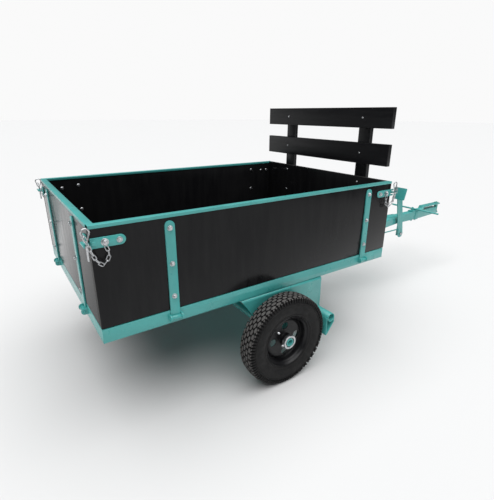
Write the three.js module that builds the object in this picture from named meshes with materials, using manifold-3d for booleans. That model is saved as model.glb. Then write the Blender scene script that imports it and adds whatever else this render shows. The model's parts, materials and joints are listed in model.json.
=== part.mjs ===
// Tipping garden cart for a ride-on mower: a drop-side box of coated plywood on a steel chassis.
// Millimetres. +X runs from the tailgate to the hitch, +Y to the cart's left, +Z up.
// Heights are written from the underside of the box frame, and the whole cart is lifted at the end.
import * as THREE from "three";
import { mergeVertices } from "three/addons/utils/BufferGeometryUtils.js";
import Module from "manifold-3d";

const wasm = await Module();
wasm.setup();

// ---------- driving dimensions ----------
const GAP = 0.3; // between pieces that touch
const BOX_LENGTH = 1300;
const BOX_WIDTH = 906;
const BOX_HEIGHT = 364; // frame underside to the top of the side rims
const FRAME_HEIGHT = 46;
const FRAME_RAIL = 30;
const FRAME_WALL = 3;
const CROSS_WALL = 4;
const CROSS_MEMBER_X = 880;
const BOARD = 18; // plywood of the sides, tailgate and front
const FLOOR_BOARD = 12;
const PANEL_BOTTOM = 49;
const CAP = { height: 10, width: 22, wall: 1.7 }; // folded steel cap on the panels' top edges

const DECK_HEIGHT = 372; // ground to the frame's underside
const WHEEL = { x: 649, radius: 187, width: 79, inner: 471, hub: 24, hubRadius: 24, bore: 17.5 };
const AXLE = { radius: 16, bore: 12, end: 552 };
const COLLAR = { radius: 28, width: 16, recess: 20.5, depth: 9 };
const AXLE_Z = WHEEL.radius - DECK_HEIGHT;

const STRAP = { width: 32, thick: 5, top: 345 };
const HINGE = { out: 10, z: 22, barrel: 8, lug: 11, pin: 4, bore: 4.5, lugThick: 6 };
const SIDE_STRAPS_X = { left: [151, 1145], right: [229, 1145] }; // rear and front strap of each side
const REAR_STRAPS_Y = [-240, 275];

const LATCH = { height: 30, z: 314, end: 97, overhang: 14, thick: 5 };
const CLIP = { x: 10, out: 14, radius: 3, bottom: 270, ringZ: 350, ring: 12 };

const POST = { width: 68, thick: 22, wall: 3, top: 660, bottom: 50 };
const POST_CENTRES_Y = [254, -271];
const SLAT = { length: 862, thick: 22 };
const SLAT_HEIGHTS = [[588, 677], [427, 522]];

const UNDER = { rear: 486, front: 892, top: -2, sheet: 4, bend: 10, foot: -182, proud: 5 };
const TIP = { x: 470, z: -14, barrel: 10, pin: 5, bore: 5.5, lug: 12, y: 300, length: 40 };
const STEP = { x: 871, z: -148, radius: 19, bore: 16, end: 550, drop: 80, wall: 4 };

const ARM = { size: 40, wall: 3, rearX: 730, rearY: 200, frontX: 2050, frontY: 14, top: -6.3 };
const TONGUE = { rear: 1960, slope: 2300, end: 2526, width: 40, height: 55, tip: 2566, lip: -46 };
const PEDAL_PLANE = -59; // middle of the lever's and the hook's thickness
const PLATE = 6;
const ROD = { radius: 4, y: -50 };
const LEVER = { x: 2042, z: -116 };
const HOOK = { x: 1335, z: -116 };
const ROD_PIN = { x: -28, z: 32 }; // from the lever's and the hook's pivots
const JAW = { root: 2222, bend: 2350, rise: 18, thick: 8, width: 40, bolt: 2245 };
const HITCH_PIN = { x: 2546, radius: 13, hole: 13.6 };

// ---------- paints and materials ----------
const paint = (color, roughness, metalness) => new THREE.MeshStandardMaterial({ color, roughness, metalness });
const GREEN = paint(0x4fb3a5, 0.45, 0.2);
const BLACK_BOARD = paint(0x17171b, 0.35, 0.0);
const BLACK_STEEL = paint(0x141416, 0.5, 0.3);
const ZINC = paint(0xc4c7c9, 0.35, 0.9);
const RUBBER = paint(0x26262a, 0.9, 0.0);

// ---------- geometry helpers ----------
const EXTRUDE = { bevelEnabled: false, curveSegments: 5 };

function shapeOf(points) {
  return new THREE.Shape(points.map(([a, b]) => new THREE.Vector2(a, b)));
}

function block([x0, x1], [y0, y1], [z0, z1]) {
  const geometry = new THREE.BoxGeometry(x1 - x0, y1 - y0, z1 - z0);
  return geometry.translate((x0 + x1) / 2, (y0 + y1) / 2, (z0 + z1) / 2);
}

// An outline in X and Z, as thick as the span in Y.
function plateXZ(shape, [y0, y1]) {
  const geometry = new THREE.ExtrudeGeometry(shape, { ...EXTRUDE, depth: y1 - y0 });
  return geometry.rotateX(Math.PI / 2).translate(0, y1, 0);
}

// An outline in Y and Z, as long as the span in X.
function plateYZ(shape, [x0, x1]) {
  const geometry = new THREE.ExtrudeGeometry(shape, { ...EXTRUDE, depth: x1 - x0 });
  const turn = new THREE.Matrix4().makeBasis(
    new THREE.Vector3(0, 1, 0),
    new THREE.Vector3(0, 0, 1),
    new THREE.Vector3(1, 0, 0),
  );
  return geometry.applyMatrix4(turn).translate(x0, 0, 0);
}

// An outline in X and Y, as high as the span in Z.
function plateXY(shape, [z0, z1]) {
  return new THREE.ExtrudeGeometry(shape, { ...EXTRUDE, depth: z1 - z0 }).translate(0, 0, z0);
}

function rodX(radius, [x0, x1], y, z, sides = 12) {
  const geometry = new THREE.CylinderGeometry(radius, radius, x1 - x0, sides);
  return geometry.rotateZ(Math.PI / 2).translate((x0 + x1) / 2, y, z);
}

function rodY(radius, [y0, y1], x, z, sides = 12) {
  return new THREE.CylinderGeometry(radius, radius, y1 - y0, sides).translate(x, (y0 + y1) / 2, z);
}

function rodZ(radius, [z0, z1], x, y, sides = 12) {
  const geometry = new THREE.CylinderGeometry(radius, radius, z1 - z0, sides);
  return geometry.rotateX(Math.PI / 2).translate(x, y, (z0 + z1) / 2);
}

function toSolid(geometry) {
  const bare = geometry.clone();
  bare.deleteAttribute("normal");
  bare.deleteAttribute("uv");
  const merged = mergeVertices(bare, 1e-4);
  return new wasm.Manifold(
    new wasm.Mesh({
      numProp: 3,
      vertProperties: new Float32Array(merged.attributes.position.array),
      triVerts: new Uint32Array(merged.index.array),
    }),
  );
}

function toGeometry(solid) {
  const mesh = solid.getMesh();
  const geometry = new THREE.BufferGeometry();
  geometry.setAttribute("position", new THREE.BufferAttribute(mesh.vertProperties, 3));
  geometry.setIndex(new THREE.BufferAttribute(mesh.triVerts, 1));
  return geometry.toNonIndexed();
}

function weld(...pieces) {
  return pieces.map(toSolid).reduce((whole, piece) => whole.add(piece));
}

function cut(solid, ...tools) {
  return tools.map(toSolid).reduce((whole, tool) => whole.subtract(tool), solid);
}

// Maps distances out from the right-hand (-Y) or left-hand (+Y) side of the cart to Y, lower value first.
function outward(side, near, far) {
  return side < 0 ? [-far, -near] : [near, far];
}

const cart = new THREE.Group();

function addPart(name, geometry, material) {
  const flat = geometry.isBufferGeometry ? geometry : toGeometry(geometry);
  if (!flat.attributes.normal) flat.computeVertexNormals();
  const mesh = new THREE.Mesh(flat, material);
  mesh.name = name;
  cart.add(mesh);
}

const HALF_WIDTH = BOX_WIDTH / 2;
const SIDES = { right: -1, left: 1 };

// ---------- box frame, floor and fixed front ----------
const FRAME_END = BOX_LENGTH - 2;

// A hinge lug's outline: a round eye that reaches back to the rail. Axes: outward distance, height.
function lugOutline(axisOut, axisZ, radius) {
  const shape = new THREE.Shape();
  shape.moveTo(-1, axisZ - radius);
  shape.lineTo(axisOut, axisZ - radius);
  shape.absarc(axisOut, axisZ, radius, -Math.PI / 2, Math.PI / 2, false);
  shape.lineTo(-1, axisZ + radius);
  return shape;
}

function lugPairSpans(centre, inside) {
  const start = inside / 2 + 0.5;
  return [
    [centre - start - HINGE.lugThick, centre - start],
    [centre + start, centre + start + HINGE.lugThick],
  ];
}

// A rectangular ring in X and Y, each side in from the frame's outline by the given distances.
function ringPlate(outer, inner, z) {
  const corners = (inset) => [
    [inset, inset - HALF_WIDTH],
    [FRAME_END - inset, inset - HALF_WIDTH],
    [FRAME_END - inset, HALF_WIDTH - inset],
    [inset, HALF_WIDTH - inset],
  ];
  const ring = shapeOf(corners(outer));
  ring.holes.push(new THREE.Path(corners(inner).map(([x, y]) => new THREE.Vector2(x, y))));
  return plateXY(ring, z);
}

// Four folded rails, open below, with two folded cross members let into their inner walls.
function boxFrame() {
  const rails = cut(
    toSolid(ringPlate(0, FRAME_RAIL, [0, FRAME_HEIGHT])),
    ringPlate(FRAME_WALL, FRAME_RAIL - FRAME_WALL, [-1, FRAME_HEIGHT - FRAME_WALL]),
  );
  const pieces = [];
  const reach = HALF_WIDTH - FRAME_RAIL + 2;
  for (const x of [TIP.x, CROSS_MEMBER_X]) {
    const half = FRAME_RAIL / 2;
    const web = CROSS_WALL - half;
    const outer = block([x - half, x + half], [-reach, reach], [1, FRAME_HEIGHT - 1]);
    const inner = block([x + web, x - web], [1 - reach, reach - 1], [0, FRAME_HEIGHT - 1 - CROSS_WALL]);
    pieces.push(toGeometry(cut(toSolid(outer), inner)));
  }
  pieces.push(block([FRAME_END - 1, FRAME_END + 14], [-70, -48], [12, 18])); // striker for the latch
  const bores = [];
  const lug = lugOutline(HINGE.out, HINGE.z, HINGE.lug);
  for (const [label, side] of Object.entries(SIDES)) {
    for (const x of SIDE_STRAPS_X[label]) {
      for (const span of lugPairSpans(x, STRAP.width)) {
        const geometry = plateYZ(lug, span).translate(0, HALF_WIDTH, 0);
        pieces.push(side > 0 ? geometry : geometry.rotateZ(Math.PI).translate(2 * x, 0, 0));
      }
      bores.push(rodX(HINGE.bore, [x - 30, x + 30], side * (HALF_WIDTH + HINGE.out), HINGE.z));
    }
  }
  const rearLug = plateXZ(lug, [0, HINGE.lugThick]).rotateZ(Math.PI);
  for (const y0 of REAR_STRAPS_Y) {
    for (const [start] of lugPairSpans(y0, STRAP.width)) {
      pieces.push(rearLug.clone().translate(0, start + HINGE.lugThick, 0));
    }
    bores.push(rodY(HINGE.bore, [y0 - 30, y0 + 30], -HINGE.out, HINGE.z));
  }
  for (const side of Object.values(SIDES)) {
    const eye = new THREE.Shape();
    eye.moveTo(TIP.x - TIP.lug, 12);
    eye.lineTo(TIP.x - TIP.lug, TIP.z);
    eye.absarc(TIP.x, TIP.z, TIP.lug, Math.PI, 2 * Math.PI, false);
    eye.lineTo(TIP.x + TIP.lug, 12);
    for (const span of lugPairSpans(side * TIP.y, TIP.length)) pieces.push(plateXZ(eye, span));
    bores.push(rodY(TIP.bore, [side * TIP.y - 40, side * TIP.y + 40], TIP.x, TIP.z));
  }
  return cut(rails.add(weld(...pieces)), ...bores);
}

function addBox() {
  addPart("box_frame", boxFrame(), GREEN);
  const inside = HALF_WIDTH - BOARD - 3.5;
  const floorTop = FRAME_HEIGHT + GAP + FLOOR_BOARD;
  addPart(
    "floor_panel",
    block([BOARD + 2, BOX_LENGTH - BOARD - 2], [-inside, inside], [FRAME_HEIGHT + GAP, floorTop]),
    BLACK_BOARD,
  );
  const front = [BOX_LENGTH - BOARD, BOX_LENGTH];
  addPart("front_panel", block(front, [-inside, inside], [PANEL_BOTTOM, BOX_HEIGHT]), BLACK_BOARD);
  const pinReach = TIP.y + TIP.length / 2 + 12;
  addPart("tip_hinge_pin", rodY(TIP.pin, [-pinReach, pinReach], TIP.x, TIP.z), ZINC);
}

// ---------- load rest: two posts and two boards ----------
// A folded channel with its back against the front panel and its two flanges forward.
function restPost(y) {
  const half = POST.width / 2;
  const back = BOX_LENGTH + GAP;
  const front = back + POST.thick;
  const section = shapeOf([
    [back, y - half],
    [front, y - half],
    [front, y - half + POST.wall],
    [back + POST.wall, y - half + POST.wall],
    [back + POST.wall, y + half - POST.wall],
    [front, y + half - POST.wall],
    [front, y + half],
    [back, y + half],
  ]);
  return plateXY(section, [POST.bottom, POST.top]);
}

function addLoadRest() {
  POST_CENTRES_Y.forEach((y, index) => {
    addPart(index === 0 ? "rest_post_left" : "rest_post_right", restPost(y), BLACK_STEEL);
  });
  SLAT_HEIGHTS.forEach((height, index) => {
    const name = index === 0 ? "rest_board_upper" : "rest_board_lower";
    const x = [BOX_LENGTH - SLAT.thick, BOX_LENGTH];
    addPart(name, block(x, [-SLAT.length / 2, SLAT.length / 2], height), BLACK_BOARD);
  });
}

// ---------- drop sides and tailgate ----------
// A strap in its own frame: standing on the hinge, outward distance along +Y, width along X.
function strapSolid() {
  const half = STRAP.width / 2;
  const outline = new THREE.Shape();
  outline.moveTo(-half, HINGE.z);
  outline.lineTo(half, HINGE.z);
  outline.lineTo(half, STRAP.top - half);
  outline.absarc(0, STRAP.top - half, half, 0, Math.PI, false);
  const blade = plateXZ(outline, [GAP, GAP + STRAP.thick]);
  const barrel = rodX(HINGE.barrel, [-half, half], HINGE.out, HINGE.z);
  return cut(weld(blade, barrel), rodX(HINGE.bore, [-half - 1, half + 1], HINGE.out, HINGE.z));
}

// Turns a piece drawn for the left-hand side so that it sits on the given side of the cart.
function placeOnSide(geometry, side, x) {
  if (side < 0) geometry.rotateZ(Math.PI);
  return geometry.translate(x, side * HALF_WIDTH, 0);
}

// The inverted-U cap, drawn in a plane with the board's middle at 0.
function capOutline() {
  const half = CAP.width / 2;
  const top = BOX_HEIGHT;
  const bottom = BOX_HEIGHT - CAP.height;
  const inner = half - CAP.wall;
  return shapeOf([
    [-half, bottom],
    [-inner, bottom],
    [-inner, top - CAP.wall],
    [inner, top - CAP.wall],
    [inner, bottom],
    [half, bottom],
    [half, top],
    [-half, top],
  ]);
}

// The plate that locks a corner, drawn with the corner at X = 0 and the side running to +X.
// The front one reaches past the corner in a fork. The rear one ends there and carries a square stop.
function latchPlate(end) {
  const half = LATCH.height / 2;
  const round = LATCH.end - half;
  const start = end === "rear" ? 1 : -LATCH.overhang;
  const outline = new THREE.Shape();
  outline.moveTo(start, LATCH.z - half);
  outline.lineTo(round, LATCH.z - half);
  outline.absarc(round, LATCH.z, half, -Math.PI / 2, Math.PI / 2, false);
  outline.lineTo(start, LATCH.z + half);
  if (end === "front") {
    outline.lineTo(start, LATCH.z + 8);
    outline.lineTo(3, LATCH.z + 8);
    outline.lineTo(3, LATCH.z - 8);
    outline.lineTo(start, LATCH.z - 8);
  }
  const plate = plateXZ(outline, [GAP, GAP + LATCH.thick]);
  if (end === "front") return plate;
  return toGeometry(weld(plate, block([4, 16], [4, 9], [LATCH.z - 6, LATCH.z + 6])));
}

// The bracket on an end panel whose tab reaches out round the corner.
function latchLug() {
  const foot = block([-GAP - 5, -GAP], [-52, -22], [LATCH.z - 18, LATCH.z + 18]);
  const tab = block([-20, -GAP - 1], [-24, 8], [LATCH.z - 3, LATCH.z + 3]);
  const prong = block([-20, -16], [7, 24], [LATCH.z - 3, LATCH.z + 3]);
  return toGeometry(weld(foot, tab, prong));
}

function latchClip() {
  const shank = rodZ(CLIP.radius, [CLIP.bottom, CLIP.ringZ - CLIP.ring + 1], -CLIP.x, CLIP.out, 10);
  const ring = new THREE.TorusGeometry(CLIP.ring, 2.2, 6, 16).rotateX(Math.PI / 2);
  ring.translate(-CLIP.x, CLIP.out, CLIP.ringZ);
  return toGeometry(weld(shank, ring));
}

function latchChain() {
  const route = new THREE.CatmullRomCurve3([
    new THREE.Vector3(39, 11, 304),
    new THREE.Vector3(43, 12, 290),
    new THREE.Vector3(44, 13, 277),
    new THREE.Vector3(36, 14, 262),
    new THREE.Vector3(24, 15, 254),
    new THREE.Vector3(9, 17, 270),
    new THREE.Vector3(-2, 20, 295),
    new THREE.Vector3(-9, 22, 319),
    new THREE.Vector3(-14, 22, 337),
  ]);
  const section = new THREE.Shape().absarc(0, 0, 3, 0, 2 * Math.PI, false);
  return new THREE.ExtrudeGeometry(section, { curveSegments: 3, steps: 16, extrudePath: route });
}

// Mirrors a closed geometry in X, and turns its triangles round again.
function mirrorX(geometry) {
  const flat = geometry.index ? geometry.toNonIndexed() : geometry.clone();
  flat.scale(-1, 1, 1);
  const p = flat.attributes.position;
  for (let i = 0; i < p.count; i += 3) {
    const [x, y, z] = [p.getX(i), p.getY(i), p.getZ(i)];
    p.setXYZ(i, p.getX(i + 1), p.getY(i + 1), p.getZ(i + 1));
    p.setXYZ(i + 1, x, y, z);
  }
  flat.deleteAttribute("normal");
  flat.deleteAttribute("uv");
  return flat;
}

// Puts a corner piece, drawn for the left rear corner, at the given corner.
function placeAtCorner(geometry, side, end) {
  let placed = end === "rear" ? geometry : mirrorX(geometry);
  if (side < 0) placed = mirrorX(placed).rotateZ(Math.PI);
  return placed.translate(end === "rear" ? 0 : BOX_LENGTH, side * HALF_WIDTH, 0);
}

function addDropSide(label, side) {
  const boardX = [0, BOX_LENGTH];
  const boardTop = BOX_HEIGHT - CAP.wall - GAP;
  const board = block(boardX, outward(side, HALF_WIDTH - BOARD, HALF_WIDTH), [PANEL_BOTTOM, boardTop]);
  addPart(`side_panel_${label}`, board, BLACK_BOARD);
  const cap = plateYZ(capOutline(), boardX);
  addPart(`top_cap_${label}`, cap.translate(0, side * (HALF_WIDTH - BOARD / 2), 0), GREEN);
  SIDE_STRAPS_X[label].forEach((x, index) => {
    const where = `${index === 0 ? "rear" : "front"}_${label}`;
    addPart(`side_strap_${where}`, placeOnSide(toGeometry(strapSolid()), side, x), GREEN);
    const pin = rodX(HINGE.pin, [x - 25, x + 25], side * (HALF_WIDTH + HINGE.out), HINGE.z);
    addPart(`side_hinge_pin_${where}`, pin, GREEN);
  });
  for (const end of ["rear", "front"]) {
    addPart(`latch_plate_${end}_${label}`, placeAtCorner(latchPlate(end), side, end), GREEN);
    addPart(`latch_lug_${end}_${label}`, placeAtCorner(latchLug(), side, end), GREEN);
    addPart(`latch_clip_${end}_${label}`, placeAtCorner(latchClip(), side, end), ZINC);
    addPart(`latch_chain_${end}_${label}`, placeAtCorner(latchChain(), side, end), ZINC);
  }
}

function addTailgate() {
  const boardTop = BOX_HEIGHT - CAP.wall - GAP;
  const reach = HALF_WIDTH - BOARD - 2; // the tailgate closes between the two side boards
  const board = block([0, BOARD], [-reach, reach], [PANEL_BOTTOM, boardTop]);
  addPart("tailgate_panel", board, BLACK_BOARD);
  const capReach = HALF_WIDTH - BOARD / 2 - CAP.width / 2 - GAP;
  const cap = plateXZ(capOutline(), [-capReach, capReach]).translate(BOARD / 2, 0, 0);
  addPart("top_cap_rear", cap, GREEN);
  REAR_STRAPS_Y.forEach((y, index) => {
    const where = index === 0 ? "right" : "left";
    const strap = toGeometry(strapSolid()).rotateZ(Math.PI / 2).translate(0, y, 0);
    addPart(`tailgate_strap_${where}`, strap, GREEN);
    addPart(`tailgate_hinge_pin_${where}`, rodY(HINGE.pin, [y - 25, y + 25], -HINGE.out, HINGE.z), GREEN);
  });
}

// ---------- undercarriage, axle and step ----------
// The folded sheet: a top and two side plates, bent with a radius along the cart's sides.
function foldedSheet() {
  const bottom = AXLE_Z - 45;
  const wide = HALF_WIDTH + UNDER.proud;
  const outline = new THREE.Shape();
  const arch = (half, top, bend) => {
    outline.lineTo(half, top - bend);
    outline.absarc(half - bend, top - bend, bend, 0, Math.PI / 2, false);
    outline.absarc(bend - half, top - bend, bend, Math.PI / 2, Math.PI, false);
  };
  outline.moveTo(wide, bottom);
  arch(wide, UNDER.top, UNDER.bend);
  outline.lineTo(-wide, bottom);
  outline.lineTo(UNDER.sheet - wide, bottom);
  const innerHalf = wide - UNDER.sheet;
  const innerTop = UNDER.top - UNDER.sheet;
  const innerBend = UNDER.bend - UNDER.sheet;
  outline.lineTo(-innerHalf, innerTop - innerBend);
  outline.absarc(innerBend - innerHalf, innerTop - innerBend, innerBend, Math.PI, Math.PI / 2, true);
  outline.absarc(innerHalf - innerBend, innerTop - innerBend, innerBend, Math.PI / 2, 0, true);
  outline.lineTo(innerHalf, bottom);
  return plateYZ(outline, [UNDER.rear, UNDER.front]);
}

// What is trimmed off below the side plates: a raked rear edge, a round seat at the axle, a shallow front edge.
function sidePlateTrim() {
  const trim = new THREE.Shape();
  const below = AXLE_Z - 60;
  trim.moveTo(UNDER.rear - 5, below);
  trim.lineTo(UNDER.rear - 5, UNDER.top + 1);
  trim.lineTo(UNDER.rear, UNDER.top);
  trim.lineTo(WHEEL.x - 36, AXLE_Z + 8);
  trim.absarc(WHEEL.x, AXLE_Z, 37, Math.PI * 0.93, Math.PI * 1.6, false);
  trim.lineTo(UNDER.front, UNDER.foot);
  trim.lineTo(UNDER.front + 5, UNDER.foot);
  trim.lineTo(UNDER.front + 5, below);
  return plateXZ(trim, [-HALF_WIDTH - UNDER.proud - 5, HALF_WIDTH + UNDER.proud + 5]);
}

function undercarriage() {
  const span = [-HALF_WIDTH - UNDER.proud - 5, HALF_WIDTH + UNDER.proud + 5];
  const sheet = cut(
    toSolid(foldedSheet()),
    sidePlateTrim(),
    rodY(AXLE.radius + GAP + 0.2, span, WHEEL.x, AXLE_Z, 24),
    rodY(STEP.radius + GAP + 0.2, span, STEP.x, STEP.z, 24),
  );
  const knuckles = [];
  const bores = [];
  for (const side of Object.values(SIDES)) {
    const y = [side * TIP.y - TIP.length / 2, side * TIP.y + TIP.length / 2];
    knuckles.push(rodY(TIP.barrel, y, TIP.x, TIP.z));
    knuckles.push(block([TIP.x, UNDER.rear + 6], y, [UNDER.top - 9, UNDER.top - 0.5]));
    bores.push(rodY(TIP.bore, [y[0] - 1, y[1] + 1], TIP.x, TIP.z));
  }
  return cut(sheet.add(weld(...knuckles)), ...bores);
}

// The cross tube whose two ends stand out in front of the wheels as steps, each with a folded gusset under it.
function stepBeam() {
  const pieces = [rodY(STEP.radius, [-STEP.end, STEP.end], STEP.x, STEP.z, 24)];
  const left = STEP.x - STEP.radius - 3;
  const right = STEP.x + STEP.radius + 4;
  const foot = STEP.z - STEP.drop;
  const gusset = shapeOf([
    [left, STEP.z],
    [left, foot],
    [left + 5, foot],
    [right, STEP.z - 26],
    [right, STEP.z - 2],
    [right - STEP.wall - 2, STEP.z - 2],
    [right - STEP.wall - 1, STEP.z - 26],
    [left + STEP.wall, foot + 6],
    [left + STEP.wall, STEP.z],
  ]);
  for (const side of Object.values(SIDES)) {
    pieces.push(plateXZ(gusset, outward(side, HALF_WIDTH + UNDER.proud + GAP, STEP.end - 3)));
  }
  const bore = rodY(STEP.bore, [-STEP.end - 1, STEP.end + 1], STEP.x, STEP.z, 24);
  return cut(weld(...pieces), bore);
}

function axleTube() {
  const tube = toSolid(rodY(AXLE.radius, [-AXLE.end, AXLE.end], WHEEL.x, AXLE_Z, 24));
  return cut(tube, rodY(AXLE.bore, [-AXLE.end - 1, AXLE.end + 1], WHEEL.x, AXLE_Z, 24));
}

function addUndercarriage() {
  addPart("undercarriage", undercarriage(), GREEN);
  addPart("axle_tube", axleTube(), GREEN);
  addPart("step_beam", stepBeam(), GREEN);
}

// ---------- wheels ----------
function lathe(points, segments) {
  const profile = points.map(([radius, offset]) => new THREE.Vector2(radius, offset));
  profile.push(profile[0].clone());
  return new THREE.LatheGeometry(profile, segments);
}

function tyre() {
  const half = WHEEL.width / 2;
  const crown = WHEEL.radius;
  return lathe(
    [
      [103, half - 8],
      [103, half - 16],
      [148, half - 9],
      [175, 0],
      [148, 9 - half],
      [103, 16 - half],
      [103, 8 - half],
      [142, -half],
      [164, 4 - half],
      [179, 14 - half],
      [crown, -9],
      [crown, 9],
      [179, half - 14],
      [164, half - 4],
      [142, half],
    ],
    36,
  );
}

function wheelDisc() {
  const half = WHEEL.width / 2;
  const profile = lathe(
    [
      [WHEEL.bore, WHEEL.hub],
      [WHEEL.bore, -WHEEL.hub],
      [WHEEL.hubRadius, -WHEEL.hub],
      [WHEEL.hubRadius + 2, -9],
      [52, -3],
      [84, -12],
      [92, 22 - half],
      [100, 16 - half],
      [102.5, 7 - half],
      [102.5, 19 - half],
      [96, 26 - half],
      [96, half - 26],
      [102.5, half - 19],
      [102.5, half - 7],
      [100, half - 16],
      [92, half - 22],
      [92, -8],
      [84, -6],
      [52, 3],
      [WHEEL.hubRadius + 2, 9],
      [WHEEL.hubRadius, WHEEL.hub],
    ],
    28,
  );
  const holes = [0, 1, 2, 3].map((quarter) => {
    const angle = (quarter * Math.PI) / 2;
    return rodY(15, [-30, 30], 57 * Math.cos(angle), 57 * Math.sin(angle), 12);
  });
  return toGeometry(cut(toSolid(profile), ...holes));
}

function addWheels() {
  for (const [label, side] of Object.entries(SIDES)) {
    const y = side * (WHEEL.inner + WHEEL.width / 2);
    const place = (geometry) => {
      if (side > 0) geometry.rotateZ(Math.PI);
      return geometry.translate(WHEEL.x, y, AXLE_Z);
    };
    addPart(`tyre_${label}`, place(tyre()), RUBBER);
    addPart(`wheel_disc_${label}`, place(wheelDisc()), BLACK_STEEL);
    const near = WHEEL.inner + WHEEL.width / 2 + WHEEL.hub + 0.5;
    const far = near + COLLAR.width;
    const outer = toSolid(rodY(COLLAR.radius, outward(side, near, far), WHEEL.x, AXLE_Z, 28));
    const bore = rodY(AXLE.radius + 0.5, outward(side, near - 1, far + 1), WHEEL.x, AXLE_Z, 24);
    const recess = rodY(COLLAR.recess, outward(side, far - COLLAR.depth, far + 1), WHEEL.x, AXLE_Z, 24);
    addPart(`axle_collar_${label}`, cut(outer, bore, recess), ZINC);
  }
}

// ---------- drawbar ----------
const ARM_SLOPE = (ARM.rearY - ARM.frontY) / (ARM.frontX - ARM.rearX);

function armBar(side, width, z) {
  const half = width / 2 / Math.cos(Math.atan(ARM_SLOPE));
  const outline = shapeOf([
    [ARM.rearX, side * ARM.rearY - half],
    [ARM.frontX, side * ARM.frontY - half],
    [ARM.frontX, side * ARM.frontY + half],
    [ARM.rearX, side * ARM.rearY + half],
  ]);
  return plateXY(outline, z);
}

function hollowArm(side) {
  const bottom = ARM.top - ARM.size;
  const outside = toSolid(armBar(side, ARM.size, [bottom, ARM.top]));
  const inside = armBar(side, ARM.size - 2 * ARM.wall, [bottom + ARM.wall, ARM.top - ARM.wall]);
  return cut(outside, inside);
}

function deckPlate(rear, front) {
  const reach = (x) => ARM.rearY - (x - ARM.rearX) * ARM_SLOPE + ARM.size / 2;
  const outline = shapeOf([
    [rear, -reach(rear)],
    [front, -reach(front)],
    [front, reach(front)],
    [rear, reach(rear)],
  ]);
  return plateXY(outline, [ARM.top - 0.5, ARM.top + 5]);
}

// A plate that hangs beside the rod and carries a pivot at its foot.
function hanger(pivot, rootX) {
  const plate = shapeOf([
    [pivot.x - 16, pivot.z - 14],
    [pivot.x + 16, pivot.z - 14],
    [pivot.x + 16, -52],
    [rootX, -46],
    [rootX, -12],
    [pivot.x - 12, -12],
  ]);
  return plateXZ(plate, [-44, -38]);
}

// The tongue's side outline. It narrows towards its end, and the given margin is taken off all round.
function tongueOutline(rear, margin) {
  return shapeOf([
    [rear, margin - TONGUE.height],
    [TONGUE.slope, margin - TONGUE.height],
    [TONGUE.end - margin, margin + TONGUE.lip],
    [TONGUE.end - margin, -margin],
    [rear, -margin],
  ]);
}

function drawbar() {
  const half = TONGUE.width / 2;
  const lip = new THREE.Shape();
  const lipRear = TONGUE.end - 30;
  lip.moveTo(lipRear, 1 - half);
  lip.lineTo(TONGUE.tip - half, 1 - half);
  lip.absarc(TONGUE.tip - half, 0, half - 1, -Math.PI / 2, Math.PI / 2, false);
  lip.lineTo(lipRear, half - 1);
  const crossReach = ARM.rearY - (1420 - ARM.rearX) * ARM_SLOPE;
  const collar = [TONGUE.slope - 44, TONGUE.slope - 10];
  const pieces = [
    plateXZ(tongueOutline(TONGUE.rear, 0), [-half, half]),
    block(collar, [-half - 3, half + 3], [-TONGUE.height - 3, -GAP]),
    plateXY(lip, [TONGUE.lip + 1, TONGUE.lip + 9]),
    deckPlate(1560, ARM.frontX + 20),
    block([1402, 1438], [-crossReach, crossReach], [ARM.top - 38, ARM.top - 4]),
    block([LEVER.x - 20, LEVER.x + 16], [-44, 1 - half], [-46, -12]),
    hanger(LEVER, LEVER.x + 16),
    hanger(HOOK, 1410),
    rodY(6, [PEDAL_PLANE - 8, -40], HOOK.x, HOOK.z, 16),
  ];
  let solid = weld(...pieces);
  for (const side of Object.values(SIDES)) solid = solid.add(hollowArm(side));
  return cut(
    solid,
    plateXZ(tongueOutline(ARM.frontX + 24, 4), [4 - half, half - 4]),
    rodY(6.4, [-50, -30], LEVER.x, LEVER.z, 16),
    rodZ(HITCH_PIN.hole, [TONGUE.lip - 5, TONGUE.lip + 15], HITCH_PIN.x, 0, 24),
    rodZ(6.4, [-TONGUE.height - 5, 5], JAW.bolt, 0, 16),
  );
}

// ---------- tipping latch: foot lever, rod and hook ----------
function leverBar() {
  const lean = Math.atan2(62, 266); // the bar leans back towards the box
  const outline = new THREE.Shape();
  const half = 25;
  outline.absarc(0, 0, half, Math.PI, 2 * Math.PI, false);
  outline.lineTo(half, 262);
  outline.lineTo(-half, 262);
  const bar = plateXZ(outline, [PEDAL_PLANE - PLATE / 2, PEDAL_PLANE + PLATE / 2]);
  return bar.rotateY(-lean).translate(LEVER.x, 0, LEVER.z);
}

function pedalPad() {
  const pad = shapeOf([
    [-38, -38],
    [34, -38],
    [38, -34],
    [44, 34],
    [40, 38],
    [-40, 38],
    [-44, 34],
    [-42, -34],
  ]);
  const tilt = THREE.MathUtils.degToRad(12);
  return plateYZ(pad, [-3, 3]).rotateY(tilt).translate(LEVER.x - 74, PEDAL_PLANE - 4, 168);
}

function footLever() {
  const rodHole = rodY(ROD.radius + 1.2, [-80, -40], LEVER.x + ROD_PIN.x, LEVER.z + ROD_PIN.z, 16);
  const pivotHole = rodY(6.4, [-80, -40], LEVER.x, LEVER.z, 16);
  return cut(weld(leverBar(), pedalPad()), rodHole, pivotHole);
}

function latchHook() {
  const outline = shapeOf([
    [-14, -14],
    [12, -16],
    [16, 0],
    [8, 150],
    [-21, 150],
    [-21, 140],
    [-8, 134],
    [-8, 60],
    [-42, 42],
    [-42, 22],
    [-30, 18],
  ]);
  const plate = plateXZ(outline, [PEDAL_PLANE - PLATE / 2, PEDAL_PLANE + PLATE / 2]);
  plate.translate(HOOK.x, 0, HOOK.z);
  const rodHole = rodY(ROD.radius + 1.2, [-80, -40], HOOK.x + ROD_PIN.x, HOOK.z + ROD_PIN.z, 16);
  return cut(toSolid(plate), rodHole, rodY(6.6, [-80, -40], HOOK.x, HOOK.z, 16));
}

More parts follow.
